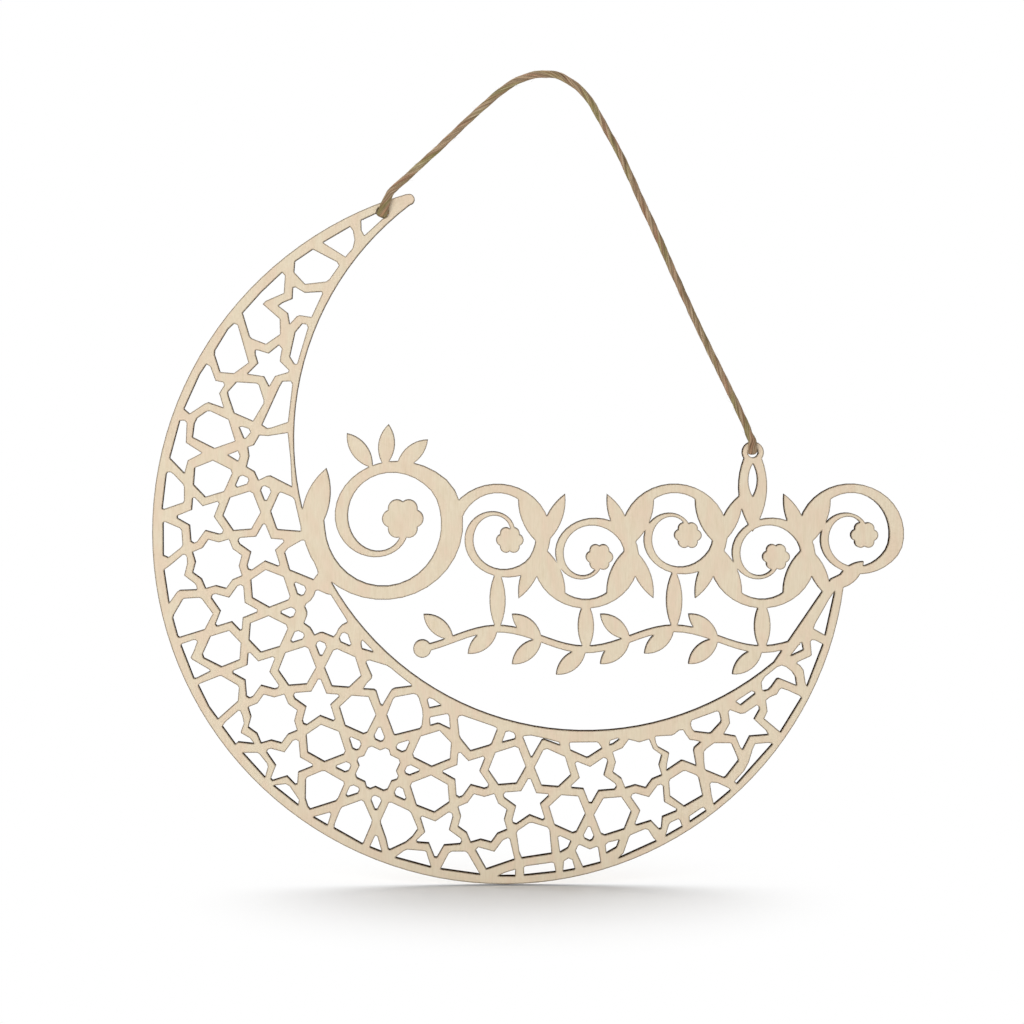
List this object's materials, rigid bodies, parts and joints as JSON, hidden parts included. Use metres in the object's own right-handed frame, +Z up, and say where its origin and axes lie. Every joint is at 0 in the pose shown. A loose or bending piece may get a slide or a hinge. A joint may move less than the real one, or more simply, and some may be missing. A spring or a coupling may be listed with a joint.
{
  "type": "hanging crescent ornament",
  "caption": "Flat laser-cut plywood crescent with pierced star fretwork and a vine-scroll band across its opening, hung from a loop of jute twine knotted behind two eyes.",
  "frame": {"origin": "middle of the twine at the top of the hanging loop, where a hook or nail takes it", "axes": "+X to the viewer's right along the sheet, +Z up, +Y backwards through the sheet towards the wall; the front faces -Y"},
  "size_m": [0.2499, 0.0102, 0.2702],
  "materials": {
    "face": "unfinished basswood veneer, matte",
    "core": "unfinished, scorched along the cut edges",
    "twine": "twisted jute, rough"
  },
  "bodies": {
    "hanger": {"hanging_cord": "twine"},
    "plaque": {"front_veneer": "face", "core_ply": "core", "back_veneer": "face", "left_cord_end": "twine", "right_cord_end": "twine", "left_knot": "twine", "right_knot": "twine"}
  },
  "joints": [
    {"name": "plaque_swing", "type": "hinge", "parent": "hanger", "child": "plaque", "pos_m": [-0.051, 0, -0.0386], "axis": [0.8285, 0, -0.56], "range_deg": [-75, 75]}
  ]
}
